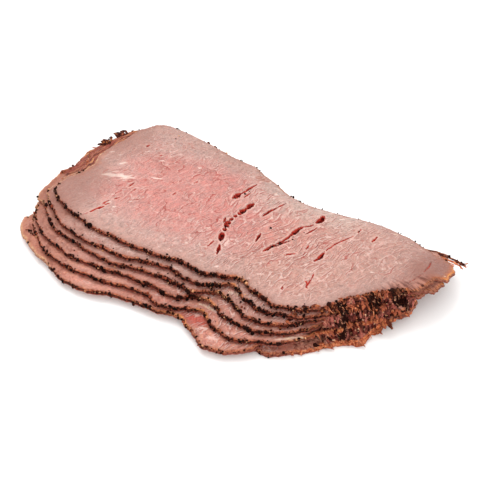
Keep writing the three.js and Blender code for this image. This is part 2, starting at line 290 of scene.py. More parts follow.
def underside(points, number):
    """Height of a slice's underside: one step for each slice below, fading past its edge."""
    height = np.zeros(len(points))
    for k in range(1, number):
        height += STEP * (1 - smooth(LEVEL_REACH, LEVEL_REACH + FALL, outside(points, OUTLINES[k])))
    return height


def along_line(points, line):
    """Distance to a bent line, the share of its length at the nearest point, and 1 on the line's
    left or -1 on its right."""
    lengths = np.hypot(*np.diff(line, axis=0).T)
    starts = np.concatenate([[0], np.cumsum(lengths)])
    best = np.full(len(points), np.inf)
    where = np.zeros(len(points))
    side = np.zeros(len(points))
    for i, length in enumerate(lengths):
        leg, off = line[i + 1] - line[i], points - line[i]
        share = np.clip((off @ leg) / (length * length), 0, 1)
        away = np.hypot(*(off - share[:, None] * leg).T)
        closer = away < best
        best = np.where(closer, away, best)
        where = np.where(closer, (starts[i] + share * length) / starts[-1], where)
        side = np.where(closer, np.sign(leg[0] * off[:, 1] - leg[1] * off[:, 0]), side)
    return best, where, side


def lines_near(points, rows, heads, reach):
    """For each row of numbers: its first few, the points within reach of its line, and how they
    lie along that line."""
    for row in rows:
        line = np.reshape(row[heads:], (-1, 2))
        near = np.flatnonzero(((points > line.min(0) - reach) & (points < line.max(0) + reach)).all(1))
        yield row[:heads], near, along_line(points[near], line)


def tear_relief(points):
    """Depth of the tears and their raised lips: a spindle's width shrinks as sin(pi t)^0.6 to
    both ends, the walls fall by the smooth step, and a lip stands beside them."""
    depth = np.zeros(len(points))
    lip = np.zeros(len(points))
    wobble = 0.30 * waves(points, 4.5, 71) + 0.22 * waves(points, 1.9, 72)
    for (width, deep), near, (away, where, _) in lines_near(points, TEARS, 2, 5):
        half = 0.5 * width * np.sin(math.pi * np.clip(where, 0.001, 0.999)) ** 0.6
        half = half * (1 + 0.5 * np.clip(wobble[near], -0.9, 0.9)) + 0.05
        depth[near] = np.maximum(depth[near], deep * (1 - smooth(0.45, 1.15, away / half)))
        lip[near] = np.maximum(lip[near], bell(away - half, 0.55, 0.55) * min(1, width / 1.4))
    for _, near, (away, _, _) in lines_near(points, STRANDS, 0, 2):
        strand = bell(away, 0, 0.42)
        lip[near] = np.maximum(lip[near], 0.8 * strand * (depth[near] > 0.3))
        depth[near] *= 1 - 0.85 * strand
    return depth, lip * (depth < 0.9)


def line_side(points, lines):
    """Signed distance to the nearest line, and how strongly it shows: sin(pi t)^0.5 along it,
    nothing beyond its ends or more than 2.5 mm away."""
    best = np.full(len(points), FAR)
    signed = np.full(len(points), FAR)
    shows = np.zeros(len(points))
    wander = 0.35 * waves(points, 5.0, 95) + 0.2 * waves(points, 2.2, 96)
    for _, near, (away, where, side) in lines_near(points, lines, 0, 4):
        closer = away < best[near]
        picked = near[closer]
        best[picked] = away[closer]
        signed[picked] = (away * side)[closer] + wander[picked]
        shows[picked] = (np.sin(math.pi * where) ** 0.5 * (away < 2.5))[closer]
    return signed, shows


def fat_share(points, number):
    """How white the fat is: 1 on the middle line of each streak, fading over its half width."""
    share = np.zeros(len(points))
    ragged = 1 + 0.45 * waves(points, 3.0, 91, along=20, stretch=2)
    for width, *line in FAT.get(number, []):
        away, where, _ = along_line(points, np.reshape(line, (-1, 2)))
        half = 0.5 * width * np.sin(math.pi * np.clip(where, 0.02, 0.98)) ** 0.5 * ragged + 0.1
        share = np.maximum(share, 1 - smooth(0.4, 1.2, away / half))
    return share


def frayed(u, number):
    """1 at the frayed right end of a rim, 0 elsewhere; lower slices are frayed further round."""
    end = 0.45 - 0.008 * number
    return band(u, 0.33, 0.36, end - 0.02, end)


def bare_tip(u, number):
    """1 round the left tip of a slice, where the rim has neither crust nor pepper."""
    end = LEFT_BARE[number]
    return band((u + 0.5) % 1.0 - 0.5, -0.13, -0.10, end - 0.007, end + 0.005)


def thin_crust(u, number):
    """1 on the front lobes where the crust is thin, for the slices that have such a lobe."""
    low, high = THIN_CRUST.get(number, (2.0, 3.0))
    return band(u, low - 0.01, low + 0.01, high - 0.01, high + 0.01)


def crust_darkness(u, number):
    """How black the crust is at a share u of the way round: 1 in front, little at both ends."""
    places = [0.0, 0.03, 0.10, 0.17, 0.20, 0.225, 0.25, 0.29, 0.345, 0.385, 0.42, 0.50, 0.54, 0.80, 0.86,
              0.95, 1.0]
    amounts = [0.35, 0.8, 1.0, 1.0, 0.5, 0.5, 1.0, 0.85, 0.6, 0.9, 0.08, 0.08, 0.5, 0.5, 0.22, 0.16, 0.35]
    end = 0.008 * (TOP - number) * ((u > 0.35) & (u < 0.5))
    share = np.interp(u - end, places, amounts) * (0.75 if number < 3 else 1.0)
    return share * (1 - 0.85 * bare_tip(u, number)) * (1 - 0.45 * thin_crust(u, number))


def grey_edge(u, number):
    """1 where the rim at the back left is dried dark grey-brown, just before its tan stretch."""
    return band(u, 0.82, 0.86, 0.915, 0.93) * (1.0 if number == TOP else 0.6)


def back_zone(u, number):
    """1 along the back left, where the lower slices' dried rims lie behind one another."""
    return band(u, 0.835, 0.855, 0.945, 0.96) * (number < TOP)


def build_mesh(name, points, faces, layers, material, rounded=True):
    """A mesh object at the origin from points in millimetres, faces and per-point layers. The
    pile's middle comes to lie over the origin."""
    mesh = bpy.data.meshes.new(name)
    mesh.vertices.add(len(points))
    centred = (points - [*PILE_MIDDLE, 0.0]) * TO_METRES
    mesh.vertices.foreach_set("co", centred.astype(np.float32).ravel())
    mesh.loops.add(faces.size)
    mesh.loops.foreach_set("vertex_index", faces.astype(np.int32).ravel())
    mesh.polygons.add(len(faces))
    mesh.polygons.foreach_set("loop_start", np.arange(0, faces.size, faces.shape[1], dtype=np.int32))
    mesh.update(calc_edges=True)
    mesh.validate()
    for layer, values in layers.items():
        data = mesh.attributes.new(layer, "FLOAT", "POINT").data
        data.foreach_set("value", values.astype(np.float32))
    mesh.materials.append(material)
    if rounded:
        mesh.shade_smooth()
    return linked(name, mesh)


def linked(name, data):
    """An object of the scene that shows the given data."""
    thing = bpy.data.objects.new(name, data)
    bpy.context.scene.collection.objects.link(thing)
    return thing


def quads_of(index):
    """The quads between the rows of a grid of points whose columns close into a ring."""
    after = np.roll(index, -1, axis=1)
    return np.stack([index[:-1], index[1:], after[1:], after[:-1]], -1).reshape(-1, 4)


def triangles_of(index):
    """The same quads turned over and cut in two."""
    quads = quads_of(index)
    return np.concatenate([quads[:, [0, 3, 2]], quads[:, [0, 2, 1]]])


def without_loose(points, faces, layers):
    """The same surface without the points that no face uses."""
    used, faces_of_used = np.unique(faces, return_inverse=True)
    return points[used], faces_of_used.reshape(faces.shape), {k: v[used] for k, v in layers.items()}


def rim_out(u, drop, number):
    """How far the crust's side stands out: half a sine down its height, with lumps."""
    lumps = np.stack([u * RIM_LENGTH, drop * 6], 1)
    broad = 0.26 * np.sin(math.pi * drop) * (1 + 0.55 * waves(lumps, 3.2, 300 + number))
    return broad + 0.22 * waves(lumps, 1.7, 310 + number) * np.sin(math.pi * drop) ** 0.5


def slice_surface(number, around, rows, under_rows):
    """One slice as a closed surface. Columns run from a line along the slice's middle to its
    outline; rows run across the face, down the crust's side and back under. The face lies one
    thickness above the underside, with soft swells, fibres, tears and a rounded edge."""
    on_top = number == TOP
    u = np.arange(around) / around
    rim = slice_outline(number, u, fine=True)
    inner = 0.06 + 0.76 * np.minimum(u, 1 - u)
    spine = 0.5 * (slice_outline(number, inner) + slice_outline(number, -inner))
    normal = outward(np.roll(rim, -2, 0) - np.roll(rim, 2, 0))

    def rows_between(shares):
        v = shares[:, None, None]
        return (spine * (1 - v) + rim * v).reshape(-1, 2)

    face = rows_between(1 - (1 - np.linspace(0, 1, rows)) ** (1.0 if on_top else 1.9))
    face_u = np.tile(u, rows)
    gap = -outside(face, rim[::max(1, around // 300)])
    depth, lip = tear_relief(face) if on_top else (0.0, 0.0)
    open_share = np.full(len(face), FAR) if on_top else outside(face, OUTLINES[number + 1])
    bare = smooth(-1.5, 1.0, open_share)
    fray = frayed(face_u, number) * bare * (0.35 * smooth(3, 0.5, gap) if on_top else smooth(14, 3, gap))
    soft = 0.16 * waves(face, 17, 11 + number) + 0.07 * waves(face, 6.5, 21 + number, along=65, stretch=1.6)
    fibre = np.clip(np.abs(waves(face, 4.2, 31 + number, along=65, stretch=2.2)), 0, 1)
    strands = waves(np.stack([face_u * RIM_LENGTH, gap * 0.45], 1), 2.4, 41 + number, count=20)
    relief = (soft - (0.11 if on_top else 0.044) * (1 - fibre)) * smooth(0, 2.5, gap)
    relief = relief - fray * (0.55 + 0.65 * strands) + 0.28 * lip - depth - 0.45 * (1 - smooth(0, 1.1, gap))
    top = np.column_stack([face, underside(face, number) + THICKNESS + relief])

    drop = np.repeat(np.arange(1, SIDE_ROWS + 1) / (SIDE_ROWS + 1), around)
    side_u = np.tile(u, SIDE_ROWS)
    side_flat = np.tile(rim, (SIDE_ROWS, 1))
    side_flat = side_flat + np.tile(normal, (SIDE_ROWS, 1)) * rim_out(side_u, drop, number)[:, None]
    rim_low = underside(rim, number) + 0.1
    side_z = np.tile(top[-around:, 2], SIDE_ROWS) * (1 - drop) + np.tile(rim_low, SIDE_ROWS) * drop
    side = np.column_stack([side_flat, side_z])

    below = rows_between(np.linspace(1, 0, under_rows))
    bottom = np.column_stack([below, underside(below, number)])

    index = np.arange((rows + SIDE_ROWS + under_rows) * around).reshape(-1, around)
    folded = np.minimum(np.arange(around), (around - np.arange(around)) % around)
    index[[0, -1]] = index[[0, -1]][:, folded]

    def layer(on_face, on_side=0.0, under=0.0):
        pairs = zip((on_face, on_side, under), (face, side, bottom))
        return np.concatenate([np.broadcast_to(value, len(part)) for value, part in pairs])

    layers = {
        "gap": layer(gap, 0.0, 6.0), "tear": layer(np.clip(depth / 1.6, 0, 1)), "lip": layer(lip),
        "fray": layer(fray, frayed(side_u, number)), "drop": layer(0.0, drop, 1.0),
        "dark": layer(crust_darkness(face_u, number), crust_darkness(side_u, number), 0.5),
        "grey": layer(grey_edge(face_u, number), grey_edge(side_u, number)),
        "thin": layer(thin_crust(face_u, number), thin_crust(side_u, number)),
        "back": layer(back_zone(face_u, number) * bare, back_zone(side_u, number)),
        "bare": layer(open_share, FAR), "around": layer(face_u * RIM_LENGTH, side_u * RIM_LENGTH),
        "side": layer(0.0, np.clip(1.25 * np.sin(math.pi * drop) ** 0.4, 0, 1)),
        "fat": layer(fat_share(face, number), fat_share(side_flat, number))}
    for name, lines in (("vein", RED_VEINS), ("seam", PALE_SEAMS)):
        away, shows = line_side(face, lines) if on_top else (FAR, 0.0)
        layers.update({name + "_gap": layer(away, FAR, FAR), name + "_on": layer(shows)})
    return without_loose(np.concatenate([top, side, bottom]), quads_of(index), layers)


def shade(code):
    """Linear colour from a six-digit sRGB code."""
    parts = [int(code[i:i + 2], 16) / 255 for i in (0, 2, 4)]
    return tuple(c / 12.92 if c <= 0.04045 else ((c + 0.055) / 1.055) ** 2.4 for c in parts) + (1.0,)


def both_ways(kind):
    """The method that adds one kind of Math node, and its reflected form."""
    def forward(self, other):
        return self.paint.math(kind, self, other)

    def reflected(self, other):
        return self.paint.math(kind, other, self)

    return forward, reflected


class Value:
    """A number running through a material; sums, products and the like add Math nodes."""

    __add__, __radd__ = both_ways("ADD")
    __sub__, __rsub__ = both_ways("SUBTRACT")
    __mul__, __rmul__ = both_ways("MULTIPLY")
    __truediv__, __rtruediv__ = both_ways("DIVIDE")
    __pow__ = both_ways("POWER")[0]
    least = both_ways("MINIMUM")[0]
    most = both_ways("MAXIMUM")[0]

    def __init__(self, paint, socket):
        self.paint = paint
        self.socket = socket

    def __abs__(self):
        return self.paint.math("ABSOLUTE", self)

    def clamped(self):
        """Kept between 0 and 1."""
        return self.most(0.0).least(1.0)

    def step(self, low, high, to_low=0.0, to_high=1.0):
        """Smooth step from to_low at low to to_high at high."""
        node = self.paint.add("ShaderNodeMapRange", {"interpolation_type": "SMOOTHSTEP"}, {
            "Value": self, "From Min": low, "From Max": high, "To Min": to_low, "To Max": to_high})
        return Value(self.paint, node.outputs["Result"])

    def tones(self, low, high, first, second):
        """Smooth step from the first colour at low to the second at high."""
        return self.paint.mix(self.step(low, high), first, second)


class Paint:
    """One material while it is being made. Places are those of the functions above."""

    def __init__(self, name):
        self.material = bpy.data.materials.new(name)
        self.material.use_nodes = True
        self.tree = self.material.node_tree
        self.tree.nodes.clear()
        size = self.scaled(self.add("ShaderNodeTexCoord").outputs["Object"], (1 / TO_METRES,) * 3)
        self.place = self.moved(size, (*PILE_MIDDLE, 0.0))
        self.x, self.y, self.z = (self.part(self.place, axis) for axis in "XYZ")

    def add(self, kind, settings=None, values=None):
        """A node of one kind: its settings first, then values or links into its sockets."""
        node = self.tree.nodes.new(kind)
        for key, item in (settings or {}).items():
            setattr(node, key, item)
        for key, item in (values or {}).items():
            self.feed(node.inputs[key], item)
        return node

    def feed(self, socket, item):
        """Links a value or a socket, or sets a number, a vector or a colour code."""
        if isinstance(item, Value):
            self.tree.links.new(item.socket, socket)
        elif isinstance(item, bpy.types.NodeSocket):
            self.tree.links.new(item, socket)
        else:
            socket.default_value = shade(item) if isinstance(item, str) else item

    def math(self, kind, *items):
        node = self.add("ShaderNodeMath", {"operation": kind}, dict(enumerate(items)))
        return Value(self, node.outputs[0])

    def vector(self, kind, first, second):
        return self.add("ShaderNodeVectorMath", {"operation": kind}, {0: first, 1: second}).outputs[0]

    def layers(self, *names):
        """The mesh's own layers of these names."""
        nodes = [self.add("ShaderNodeAttribute", {"attribute_name": name}) for name in names]
        return [Value(self, node.outputs["Fac"]) for node in nodes]

    def scaled(self, vector, by):
        return self.vector("MULTIPLY", vector, by)

    def moved(self, vector, by):
        return self.vector("ADD", vector, by)

    def turned(self, vector, degrees, stretch):
        """A vector turned about the vertical, then scaled."""
        node = self.add("ShaderNodeVectorRotate", {"rotation_type": "Z_AXIS"},
                        {"Vector": vector, "Angle": math.radians(degrees)})
        return self.scaled(node.outputs[0], stretch)

    def pushed(self, vector, length, detail, amount):
        """A vector pushed about by a coloured noise of the given length, by the amount."""
        centred = self.vector("SUBTRACT", self.noise_node(self.place, length, detail).outputs["Color"],
                              (0.5, 0.5, 0.5))
        return self.moved(vector, self.scaled(centred, (amount, amount, amount)))

    def joined(self, x, y, z=0.0):
        return self.add("ShaderNodeCombineXYZ", None, {"X": x, "Y": y, "Z": z}).outputs[0]

    def part(self, vector, name):
        return Value(self, self.add("ShaderNodeSeparateXYZ", None, {0: vector}).outputs[name])

    def noise_node(self, vector, length, detail, rough=0.55):
        return self.add("ShaderNodeTexNoise", {"noise_dimensions": "3D"}, {
            "Vector": vector, "Scale": 1.0 / length, "Detail": detail, "Roughness": rough})

    def noise(self, length, detail=3.0, rough=0.55, at=None):
        """Noise of the given length, at the place itself or at another vector."""
        at = self.place if at is None else at
        return Value(self, self.noise_node(at, length, detail, rough).outputs[0])

    def cells(self, vector, length, feature="F1"):
        return self.add("ShaderNodeTexVoronoi", {"feature": feature}, {
            "Vector": vector, "Scale": 1.0 / length})

    def oval(self, cx, cy, rx, ry):
        """((x - cx) / rx)^2 + ((y - cy) / ry)^2: below 1 inside an oval seen from above."""
        return ((self.x - cx) / rx) ** 2 + ((self.y - cy) / ry) ** 2

    def strokes(self, vector, size, width, amount):
        """Short curved strokes along x, one in each cell: pale along one side, partly pale tissue and
        partly a painted highlight, and dark along the other, a painted shade. The line is
        y = slant * x + bend * x^2 about the cell's own point."""
        cell = self.cells(vector, size)
        own = cell.outputs["Color"]
        local = self.vector("SUBTRACT", vector, cell.outputs["Position"])
        x, y = self.part(local, "X"), self.part(local, "Y")
        slant = self.part(own, "X") - 0.5
        bend = (self.part(own, "Y") - 0.5) * (1.5 / size)
        off = y - slant * x - bend * x * x
        here = abs(x).step(size * 0.46, size * 0.2) * self.part(own, "Z").step(1.0 - amount, 1.03 - amount)
        # Pale side: partly pale tissue, partly a painted highlight. Dark side: a painted shade.
        pale_and_lit = abs(off - width * 0.5).step(width * 0.75, width * 0.15) * here
        dark = abs(off + width * 0.5).step(width * 0.75, width * 0.15) * here
        return pale_and_lit, dark

    def mix(self, share, first, second, way="MIX"):
        node = self.add("ShaderNodeMix", {"data_type": "RGBA", "blend_type": way, "clamp_factor": True},
                        {0: share, 6: first, 7: second})
        return node.outputs[2]

    def coats(self, colour, *coats):
        """A colour with coats laid over it in turn, each by its share."""
        for share, coat in coats:
            colour = self.mix(share, colour, coat)
        return colour

    def finish(self, colour, rough, height, **others):
        """The finished material, from its colour, roughness and height in millimetres."""
        bump = self.add("ShaderNodeBump", None, {"Strength": 1.0, "Distance": TO_METRES, "Height": height})
        surface = self.add("ShaderNodeBsdfPrincipled", None, {
            "Base Color": colour, "Roughness": rough, "Normal": bump.outputs[0]})
        for key, item in others.items():
            self.feed(surface.inputs[key.replace("_", " ")], item)
        self.add("ShaderNodeOutputMaterial", None, {"Surface": surface.outputs[0]})
        return self.material


def flesh_material():
    """Cut roast beef: pink in the middle and greyer to the rim, wrinkled along its fibres with thin pale
    seams and with painted highlights and painted shade along the wrinkles, browned at the edge, red
    inside the tears and painted near black deep in them as shade, painted shade beside the slice above,
    near black on the crust, and orange at thin edges, partly a painted glow of light through them."""
    p = Paint("flesh")
    x, y, z = p.x, p.y, p.z
    gap, tear, lip, fray, side, fat = p.layers("gap", "tear", "lip", "fray", "side", "fat")
    around, dark, bare, drop = p.layers("around", "dark", "bare", "drop")
    grey, thin, back = p.layers("grey", "thin", "back")
    vein_gap, vein_on, seam_gap, seam_on = p.layers("vein_gap", "vein_on", "seam_gap", "seam_on")
    bent = p.pushed(p.place, 26, 2.0, 18)
    patch = p.noise(8, 3.0, at=bent)
    cloud = p.noise(3.8, 3.0, 0.6, at=bent)
    fine = p.noise(0.9, 2.0, 0.65)
    fibre = p.noise(1.5, 4.0, 0.65, at=p.turned(bent, -72, (0.26, 1.0, 1.0)))
    inner = gap.step(2.0, 12.0).most(gap.step(0.6, 2.4) * z.step(19.5, 18.5))

    # The meat of the faces: the top slice's middle and rim, then the lower slices.
    pinkness = p.oval(-20, 13, 64, 33).step(2.3, 0.0) * gap.step(3, 22)
    pinkness = (pinkness + (p.noise(30, 2.0) - 0.5) * 0.8 + (patch - 0.5) * 0.7).clamped()
    salmon = (x.step(-6, 26) * gap.step(2, 14) * 0.8 + (patch - 0.5) * 0.6).clamped()
    cool = x.step(-20, 2) * x.step(66, 50) * y.step(12, 26) * z.step(15.5, 17.0)
    blush = (p.oval(-64, 35, 16, 9) + (cloud - 0.5) * 0.8).step(1.3, 0.2) * z.step(15.5, 17.0)
    lower = z.step(19, 4)
    # The middle slices at the waist turn darker and redder: partly redder meat, partly painted shade.
    waist = (((x - 4) / 46) ** 2).step(1.6, 0.3) * z.step(17, 12)
    streaky = p.noise(1.7, 3.0, 0.6, at=p.joined(around * 0.5, gap * 0.5, z * 0.3))
    flush = (p.oval(1, -62, 14, 6) + (cloud - 0.5) * 1.2).step(1.2, 0.2) * z.step(7.2, 6.4)
    lobe = x.step(44, 52) * x.step(82, 76) * z.step(3.6, 3.0) * streaky.step(0.36, 0.6)
    colour = p.coats(
        p.mix(pinkness, "b8968f", "c48a84"),
        (salmon * 0.75, "bc9084"),
        (((cloud - 0.5) * 2.0 + pinkness * 0.45).step(0.15, 0.85) * 0.42, "b8665e"),
        (gap.step(15, 2) * 0.5, "ae877c"),
        (cool * 0.6, "bca69e"),
        (blush * 0.5, "b26e66"),
        (lower * 0.80, "dc9686"),
        (waist * 0.35, "ac6454"),
        (lower * streaky.step(0.48, 0.66) * 0.65, "d3997f"),
        (lower * streaky.step(0.46, 0.32) * 0.6, "985042"),
        (flush * 0.8, "b0443a"),
        (lobe * 0.85, "e08e7a"),
        # Darker red-brown beside the edge of the slice above: partly juice stain, partly painted shade.
        (bare.step(2.4, 0.2) * 0.45, "8e4839"))

    # Wrinkles drawn as pale lines with painted highlights and painted shade, fibres, seams of fat and red
    # lines.
    fibres = p.turned(p.pushed(p.place, 20, 1.0, 11), -70, (0.36, 1.0, 0.2))
    pale_and_lit_1, shaded_1 = p.strokes(fibres, 3.8, 0.62, 0.5)
    pale_and_lit_2, shaded_2 = p.strokes(p.moved(fibres, (31.7, 12.3, 5.1)), 2.5, 0.5, 0.42)
    pale_and_lit_3, shaded_3 = p.strokes(p.moved(fibres, (11.1, 52.6, 9.4)), 1.5, 0.36, 0.4)
    webbed = p.scaled(p.pushed(fibres, 4.0, 2.0, 2.2), (1.0, 0.8, 1.0))
    web = Value(p, p.cells(webbed, 3.1, "DISTANCE_TO_EDGE").outputs["Distance"])
    open_web = p.noise(5.0, 2.0).step(0.47, 0.55)
    web_light = web.step(0.085, 0.02) * open_web
    # Painted shade beside the pale outlines of the muscle bundles.
    web_shade = abs(web - 0.15).step(0.07, 0.02) * open_web
    wrinkled = ((p.noise(12, 2.0) - 0.5) * 1.4 + x.step(-45, 8) * 0.62 + 0.30).clamped()
    wrinkled = wrinkled * inner * x.step(40, 75, 1.0, 0.55)
    everywhere = (0.35 + (cloud - 0.5) * 1.5 + pinkness * 0.35).clamped() * inner
    # Pale lines: partly pale tissue, partly painted highlights. Dark lines: painted shade.
    pale_and_lit_lines = (pale_and_lit_1.most(pale_and_lit_2).most(web_light) * wrinkled).most(pale_and_lit_3 * everywhere * 0.6)
    shaded_lines = (shaded_1.most(shaded_2).most(web_shade * 0.6) * wrinkled).most(shaded_3 * everywhere * 0.6)
    seam_field = p.noise(11, 2.0, at=p.pushed(p.place, 7, 3.0, 9))
    seam = abs(seam_field - 0.5).step(0.013, 0.003) * p.noise(13, 2.0).step(0.45, 0.6) * inner
    vein_field = p.noise(12, 2.0, 0.5, at=p.pushed(p.place, 9, 3.0, 12))
    vein = abs(vein_field - 0.47).step(0.015, 0.003) * p.noise(10, 2.0, at=bent).step(0.44, 0.58) * inner
    drawn_red = abs(vein_gap).step(0.55, 0.18) * vein_on * (fine.step(0.30, 0.62) * 0.8 + 0.2)
    drawn_pale = abs(seam_gap).step(0.6, 0.15) * seam_on * (cloud.step(0.34, 0.6) * 0.8 + 0.2)
    beside = abs(vein_gap - 0.7).step(0.45, 0.1) * vein_on
    tone = 0.96 + (fine - 0.5) * 0.95 + (fibre - 0.5) * 0.85 + (cloud - 0.5) * 0.75
    tone = tone * x.step(50, 95, 1.0, 0.87) * y.step(28, 52, 1.0, 0.92)
    tear_wall = p.noise(1.3, 3.0).tones(0.36, 0.62, "981c12", "c84636")
    # Deep in the tears the red turns near black: painted shade at the bottom of the tears.
    shaded_tear_floor = p.noise(1.9, 2.0).tones(0.40, 0.62, "200202", "84180f")
    colour = p.coats(
        p.mix(1.0, colour, p.joined(tone, tone, tone), "MULTIPLY"),
        # Pale tissue and painted highlights along the wrinkles, then painted shade and red veins.
        ((pale_and_lit_lines * 0.78).most(seam * 0.6).most(drawn_pale * 0.75).most(beside * 0.4), "e0bfb7"),
        ((shaded_lines * 0.8).most(vein * 0.7), p.mix(pinkness, "a8695e", "9e463e")),
        (drawn_red * 0.85, "a03c32"),
        (fat * (cloud.step(0.3, 0.6) * 0.4 + 0.5), "e6cfc6"),
        (lip * 0.7, "e0bab0"),
        (tear.step(0.04, 0.35), (tear + (fine - 0.5) * 0.5).tones(0.55, 0.95, tear_wall, shaded_tear_floor)))

    # Duller towards the ends; browning towards the tips, the rim and the frayed end.
    # Duller grey-brown towards the left tip, the right end and the back.
    dull_left = p.oval(-112, -4, 30, 34).step(1.4, 0.2) * z.step(5, 18, 0.35, 1.0)
    dull_back = p.oval(-100, 44, 24, 26).step(1.3, 0.1)
    dull_right = p.oval(120, 12, 28, 32).step(1.4, 0.4)
    dull_ends = (dull_left * 0.75).most(dull_right * 0.95).most(dull_back * 0.5)
    dull_ends = (dull_ends + (cloud - 0.5) * 0.5).clamped() * 0.86
    tips = x.step(-58, -95) * z.step(18.5, 17.0)
    strand = p.noise(1.5, 4.0, 0.65, at=p.joined(around, gap * 0.5))
    wide_strand = p.noise(2.3, 4.0, 0.65, at=p.joined(around * 0.8, gap * 0.28))
    ragged = gap + (p.noise(2.2, 3.0) - 0.5) * 2.4
    singed = x.step(80, 92) * x.step(116, 112) * y.step(10, 2) * (gap + (wide_strand - 0.5) * 12).step(10, 2)
    # Orange band at the right tip: browned rim, partly a painted glow of light through the thin tip.
    tanned_and_glowing = ragged.step(4.6, 1.2) * dark.step(0.30, 0.12) * (1.0 - grey) * x.step(110.5, 114, 0.25, 1.0)
    left_end = x.step(-60, -80)
    edge = p.coats(
        fine.tones(0.35, 0.65, "c46e3a", "e09c60"),
        (left_end, fine.tones(0.35, 0.65, "b08262", "dab08a")),
        (x.step(84, 90) * x.step(114, 111) * 0.75, "8a5044"),
        (dark.step(0.2, 0.8), fine.tones(0.4, 0.6, "602515", "b06040")),
        (thin, fine.tones(0.4, 0.62, "783626", "bc7452")),
        (singed, wide_strand.tones(0.42, 0.56, "461a12", "b4704e")),
        (grey, fine.tones(0.35, 0.6, "54372f", "8f6a5c")))
    behind = y.step(24, 34) * x.step(-70, -50) * (gap + (p.noise(2.0, 3.0) - 0.5) * 2.2).step(1.9, 0.7)
    fold = (p.oval(-8.4, 46.2, 4.6, 3.0) + (cloud - 0.5) * 1.2).step(1.2, 0.6)
    layered = p.noise(1.1, 3.0, 0.6, at=p.joined(around * 0.11, gap + z * 0.8))
    rind = p.coats(
        layered.tones(0.43, 0.50, "56241a", "9c5c48"),
        (layered.step(0.555, 0.60), "c48c5c"),
        (p.noise(1.6, 3.0, at=p.joined(around * 0.12, gap + z, 7.0)).step(0.50, 0.60), "8c463a"))
    spots = p.noise(1.8, 3.0)
    # Orange at the thin lower edges of the frayed end, partly a painted glow of light through them.
    thin_edge = (gap + (spots - 0.5) * 2.6).step(1.5, 0.3) * z.step(10.5, 7.0)
    brown = p.coats(
        strand.tones(0.38, 0.6, "220a07", "70362f"),
        (p.noise(2.6, 3.0, at=p.joined(around, gap * 0.4)).step(0.62, 0.74), "a3663e"),
        (z.step(8, 3.5) * 0.85, strand.tones(0.34, 0.58, "8e483a", "cc907c")),
        (thin_edge * 0.8, spots.tones(0.38, 0.62, "ac4e26", "e4925c")))
    colour = p.coats(
        colour,
        (dull_ends * (1.0 - tear.step(0.1, 0.5)), "90645a"),
        (tips * 0.38, "a05c44"),
        (tips * streaky.step(0.52, 0.38) * 0.5, "74402f"),
        (ragged.step(4.2, 1.0) * 0.45, "96665a"),
        (singed * 0.8, wide_strand.tones(0.38, 0.60, "5a2a20", "b47c6c")),
        (tanned_and_glowing * 0.8, cloud.tones(0.35, 0.65, "a65f45", "be7950")),
        ((ragged + left_end * 0.6).step(1.5, 0.3) * 0.9, edge),
        (behind * 0.75, fine.tones(0.4, 0.6, "6e3a28", "b07a56")),
        (fold * 0.45, "a05a44"),
        (back * gap.step(8.5, 5.0) * 0.95, rind),
        (fray.step(0.08, 0.5), brown))

    # The crust on the sides.
    bits = p.noise(1.4, 4.0, 0.65)
    black = p.coats(
        bits.tones(0.42, 0.6, "160603", "5c2116"),
        (p.noise(1.1, 2.0).step(0.60, 0.70), "ae5a38"))
    cliff = x.step(82, 92) * z.step(17.9, 17.2).most(x.step(114.5, 111) * 0.8)
    crust = p.coats(
        bits.tones(0.38, 0.62, "a05c46", "d09068"),
        (left_end, bits.tones(0.38, 0.62, "a87662", "d0a07c")),
        (cliff * 0.85, strand.tones(0.36, 0.6, "7a4034", "ac7462")),
        (grey * 0.9, bits.tones(0.38, 0.6, "3f251d", "7a5040")),
        ((dark + (bits - 0.5) * 0.9).step(0.28, 0.72), black),
        ((drop + (bits - 0.5) * 0.9).step(0.4, 0.75) * 0.8, "92483a"),
        (thin * 0.9, (drop + (bits - 0.5) * 0.7).tones(
            0.25, 0.55, bits.tones(0.42, 0.58, "4c2018", "a65c48"), "904e44")),
        # Orange on the low sides at the frayed end, partly a painted glow of light through the thin edges.
        (fray * z.step(10.5, 7.0) * x.step(58, 66) * 0.9, spots.tones(0.38, 0.62, "a6462c", "de8a62")),
        (back, p.mix(1.0, rind, (0.85, 0.85, 0.85, 1.0), "MULTIPLY")))
    colour = p.coats(
        colour,
        (side.step(0.2, 0.8), crust),
        (fat * z.step(17.8, 17.0) * streaky.step(0.36, 0.56) * 0.85, "dec0a4"))
    colour = p.mix(1.0, colour, (0.965, 0.945, 0.92, 1.0), "MULTIPLY")

    height = pale_and_lit_lines * 0.26 - shaded_lines * 0.26 + seam * 0.12 - vein * 0.10 - drawn_red * 0.25
    height = height + drawn_pale * 0.12 + (cloud - 0.5) * 0.6 * inner + (fibre - 0.5) * 0.5
    height = height + (fine - 0.5) * 0.3 + side * (bits - 0.5) * 0.9 + fray * (strand - 0.5) * 1.3
    rough = 0.5 + (patch - 0.5) * 0.35 - tear * 0.22 - fray * 0.12 + side * 0.2
    return p.finish(colour, rough.most(0.18), height, Subsurface_Weight=0.10,
                    Subsurface_Radius=(0.0022, 0.0008, 0.0005), Specular_IOR_Level=0.12)


def caked_share(p, spots):
    """1 inside the black caked patches of the torn end, with ragged edges."""
    patches = [(p.oval(*patch) + (spots - 0.5) * 2.2).step(1.25, 0.75) for patch in CAKED]
    share = patches[0]
    for patch in patches[1:]:
        share = share.most(patch)
    return share


def pepper_material(name, first, second, rough):
    """Cracked pepper: two tones mixed by a fine noise and by each grain's own tone."""
    p = Paint(name)
    tone, = p.layers("tone")
    spots = p.noise(0.6, 3.0)
    colour = (spots * 0.6 + tone * 0.6).tones(0.3, 0.85, first, second)
    return p.finish(colour, rough + (spots - 0.5) * 0.3, (p.noise(0.35, 2.0) - 0.5) * 0.25,
                    Specular_IOR_Level=0.05)


